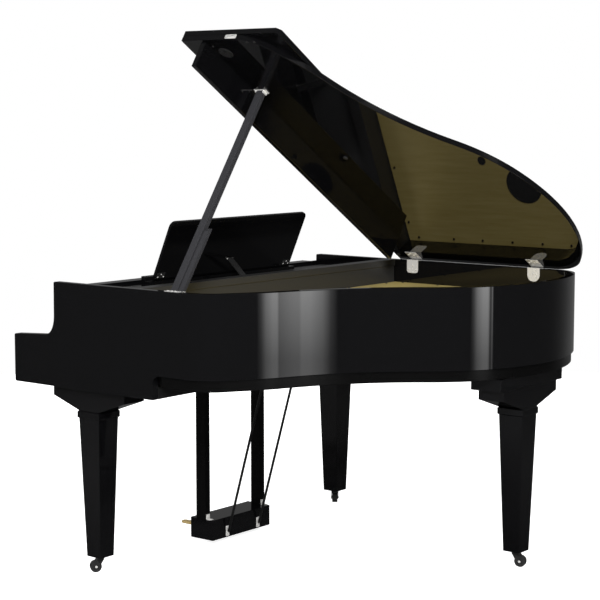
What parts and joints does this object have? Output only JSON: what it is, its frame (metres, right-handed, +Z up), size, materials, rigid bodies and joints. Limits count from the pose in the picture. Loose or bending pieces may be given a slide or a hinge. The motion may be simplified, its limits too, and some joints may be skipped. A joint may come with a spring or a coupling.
{
  "type": "digital grand piano",
  "caption": "Small digital grand piano with a bent rim, propped lid with folded front flap, raised music desk, keys, pedal lyre and square tapered legs on casters.",
  "frame": {"origin": "on the floor under the middle of the whole object's box, lid open", "axes": "+Z up, +Y from the keyboard to the tail, +X to the treble end"},
  "size_m": [1.39, 1.4068, 1.7018],
  "materials": {
    "gloss_black": "polished black lacquer",
    "satin_black": "satin black paint",
    "prop_grey": "dark grey satin",
    "gold_board": "light golden veneer, satin",
    "key_white": "polished",
    "key_black": "matt",
    "nickel": "bright nickel",
    "brass": "polished",
    "steel": "satin",
    "black_metal": "black painted steel",
    "tyre_black": "smooth",
    "circuit_green": "matt",
    "cone_black": "matt"
  },
  "bodies": {
    "case": {"side_treble": "gloss_black", "side_bass": "gloss_black", "rim": "gloss_black", "shelf": "gloss_black", "back_board": "gloss_black", "nameboard": "gloss_black", "key_slip": "gloss_black", "key_block_bass": "gloss_black", "key_block_treble": "gloss_black", "tail_leg_block": "gloss_black", "desk_ledge": "gloss_black", "leg_treble": "gloss_black", "leg_bass": "gloss_black", "leg_tail": "gloss_black", "lyre_post_treble": "gloss_black", "lyre_post_bass": "gloss_black", "pedal_box": "gloss_black", "keybed": "satin_black", "bottom_board": "satin_black", "lyre_rod_treble": "satin_black", "lyre_rod_bass": "satin_black", "inlet_panel": "satin_black", "soundboard_panel": "gold_board", "lid_hinge_front_rim_leaf": "nickel", "lid_hinge_rear_rim_leaf": "nickel", "prop_base": "nickel", "key_frame": "steel", "power_supply": "steel", "main_board": "circuit_green", "speaker_bass": "cone_black", "speaker_treble": "cone_black"},
    "lid": {"lid_main": "gloss_black", "lid_rail": "gloss_black", "lid_hinge_front_lid_leaf": "nickel", "lid_hinge_rear_lid_leaf": "nickel", "prop_cup": "nickel"},
    "flap": {"lid_flap": "gloss_black"},
    "prop": {"prop_long": "prop_grey"},
    "half_prop": {"prop_short": "prop_grey"},
    "fallboard": {"fallboard": "gloss_black"},
    "desk": {"music_desk": "gloss_black"},
    "strut": {"desk_strut": "black_metal"},
    "power_button": {"power_button": "nickel"},
    "white_low_bass": {"white_keys_low_bass": "key_white"},
    "black_low_bass": {"black_keys_low_bass": "key_black"},
    "white_bass": {"white_keys_bass": "key_white"},
    "black_bass": {"black_keys_bass": "key_black"},
    "white_tenor": {"white_keys_tenor": "key_white"},
    "black_tenor": {"black_keys_tenor": "key_black"},
    "white_high_treble": {"white_keys_high_treble": "key_white"},
    "black_high_treble": {"black_keys_high_treble": "key_black"},
    "pedal_soft": {"pedal_soft": "brass"},
    "pedal_sostenuto": {"pedal_sostenuto": "brass"},
    "pedal_damper": {"pedal_damper": "brass"},
    "caster_treble": {"caster_fork_treble": "black_metal"},
    "wheel_treble": {"caster_wheel_treble": "tyre_black"},
    "caster_bass": {"caster_fork_bass": "black_metal"},
    "wheel_bass": {"caster_wheel_bass": "tyre_black"},
    "caster_tail": {"caster_fork_tail": "black_metal"},
    "wheel_tail": {"caster_wheel_tail": "tyre_black"}
  },
  "joints": [
    {"name": "lid_hinge", "type": "hinge", "parent": "case", "child": "lid", "pos_m": [-0.66699, -0.70337, 0.929], "axis": [0, -1, 0], "range_deg": [0, 20]},
    {"name": "flap_hinge", "type": "hinge", "parent": "lid", "child": "flap", "pos_m": [-0.10288, -0.15587, 1.31272], "axis": [0.8415, 0, 0.5402], "range_deg": [0, 180]},
    {"name": "prop_fold", "type": "hinge", "parent": "case", "child": "prop", "pos_m": [0.65991, -0.04637, 0.915], "axis": [0, -1, 0], "range_deg": [0, 56]},
    {"name": "half_prop_fold", "type": "hinge", "parent": "prop", "child": "half_prop", "pos_m": [0.65991, -0.04637, 0.915], "axis": [0, 1, 0], "range_deg": [0, 30]},
    {"name": "fallboard_hinge", "type": "hinge", "parent": "case", "child": "fallboard", "pos_m": [0.01501, -0.50437, 0.74], "axis": [1, 0, 0], "range_deg": [0, 90]},
    {"name": "desk_hinge", "type": "hinge", "parent": "case", "child": "desk", "pos_m": [0.01501, -0.40477, 0.9125], "axis": [1, 0, 0], "range_deg": [-61, 0]},
    {"name": "strut_hinge", "type": "hinge", "parent": "desk", "child": "strut", "pos_m": [0.01501, -0.37512, 0.96064], "axis": [1, 0, 0], "range_deg": [0, 112]},
    {"name": "power_press", "type": "slide", "parent": "case", "child": "power_button", "axis": [0, 0, -1], "range_m": [0, 0.0015], "stiffness_N_per_m": 400},
    {"name": "white_keys_low_bass_dip", "type": "hinge", "parent": "case", "child": "white_low_bass", "pos_m": [0.01501, -0.31337, 0.6866], "axis": [1, 0, 0], "range_deg": [0, 1.6], "stiffness_Nm_per_rad": 60, "springref_deg": -6.88},
    {"name": "black_keys_low_bass_dip", "type": "hinge", "parent": "case", "child": "black_low_bass", "pos_m": [0.01501, -0.31337, 0.6866], "axis": [1, 0, 0], "range_deg": [0, 1.6], "stiffness_Nm_per_rad": 60, "springref_deg": -6.88},
    {"name": "white_keys_bass_dip", "type": "hinge", "parent": "case", "child": "white_bass", "pos_m": [0.01501, -0.31337, 0.6866], "axis": [1, 0, 0], "range_deg": [0, 1.6], "stiffness_Nm_per_rad": 60, "springref_deg": -6.88},
    {"name": "black_keys_bass_dip", "type": "hinge", "parent": "case", "child": "black_bass", "pos_m": [0.01501, -0.31337, 0.6866], "axis": [1, 0, 0], "range_deg": [0, 1.6], "stiffness_Nm_per_rad": 60, "springref_deg": -6.88},
    {"name": "white_keys_tenor_dip", "type": "hinge", "parent": "case", "child": "white_tenor", "pos_m": [0.01501, -0.31337, 0.6866], "axis": [1, 0, 0], "range_deg": [0, 1.6], "stiffness_Nm_per_rad": 60, "springref_deg": -6.88},
    {"name": "black_keys_tenor_dip", "type": "hinge", "parent": "case", "child": "black_tenor", "pos_m": [0.01501, -0.31337, 0.6866], "axis": [1, 0, 0], "range_deg": [0, 1.6], "stiffness_Nm_per_rad": 60, "springref_deg": -6.88},
    {"name": "white_keys_high_treble_dip", "type": "hinge", "parent": "case", "child": "white_high_treble", "pos_m": [0.01501, -0.31337, 0.6866], "axis": [1, 0, 0], "range_deg": [0, 1.6], "stiffness_Nm_per_rad": 60, "springref_deg": -6.88},
    {"name": "black_keys_high_treble_dip", "type": "hinge", "parent": "case", "child": "black_high_treble", "pos_m": [0.01501, -0.31337, 0.6866], "axis": [1, 0, 0], "range_deg": [0, 1.6], "stiffness_Nm_per_rad": 60, "springref_deg": -6.88},
    {"name": "pedal_soft_press", "type": "hinge", "parent": "case", "child": "pedal_soft", "pos_m": [-0.05299, -0.36537, 0.034], "axis": [1, 0, 0], "range_deg": [0, 5], "stiffness_Nm_per_rad": 20, "springref_deg": -5.73},
    {"name": "pedal_sostenuto_press", "type": "hinge", "parent": "case", "child": "pedal_sostenuto", "pos_m": [0.01501, -0.36537, 0.034], "axis": [1, 0, 0], "range_deg": [0, 5], "stiffness_Nm_per_rad": 20, "springref_deg": -5.73},
    {"name": "pedal_damper_press", "type": "hinge", "parent": "case", "child": "pedal_damper", "pos_m": [0.08301, -0.36537, 0.034], "axis": [1, 0, 0], "range_deg": [0, 5], "stiffness_Nm_per_rad": 20, "springref_deg": -5.73},
    {"name": "caster_treble_swivel", "type": "hinge", "parent": "case", "child": "caster_treble", "pos_m": [0.62701, -0.39337, 0.0507], "axis": [0, 0, 1], "continuous": true},
    {"name": "wheel_treble_roll", "type": "hinge", "parent": "caster_treble", "child": "wheel_treble", "pos_m": [0.64012, -0.40255, 0.01834], "axis": [-0.5736, -0.8192, 0], "continuous": true},
    {"name": "caster_bass_swivel", "type": "hinge", "parent": "case", "child": "caster_bass", "pos_m": [-0.59699, -0.39337, 0.0507], "axis": [0, 0, 1], "continuous": true},
    {"name": "wheel_bass_roll", "type": "hinge", "parent": "caster_bass", "child": "wheel_bass", "pos_m": [-0.60959, -0.40322, 0.01834], "axis": [-0.6157, 0.788, 0], "continuous": true},
    {"name": "caster_tail_swivel", "type": "hinge", "parent": "case", "child": "caster_tail", "pos_m": [-0.25599, 0.60407, 0.0507], "axis": [0, 0, 1], "continuous": true},
    {"name": "wheel_tail_roll", "type": "hinge", "parent": "caster_tail", "child": "wheel_tail", "pos_m": [-0.26013, 0.61952, 0.01834], "axis": [0.9659, 0.2588, 0], "continuous": true}
  ],
  "couplings": [
    {"joint": "strut_hinge", "follows": "desk_hinge", "ratio": -1.7831}
  ]
}
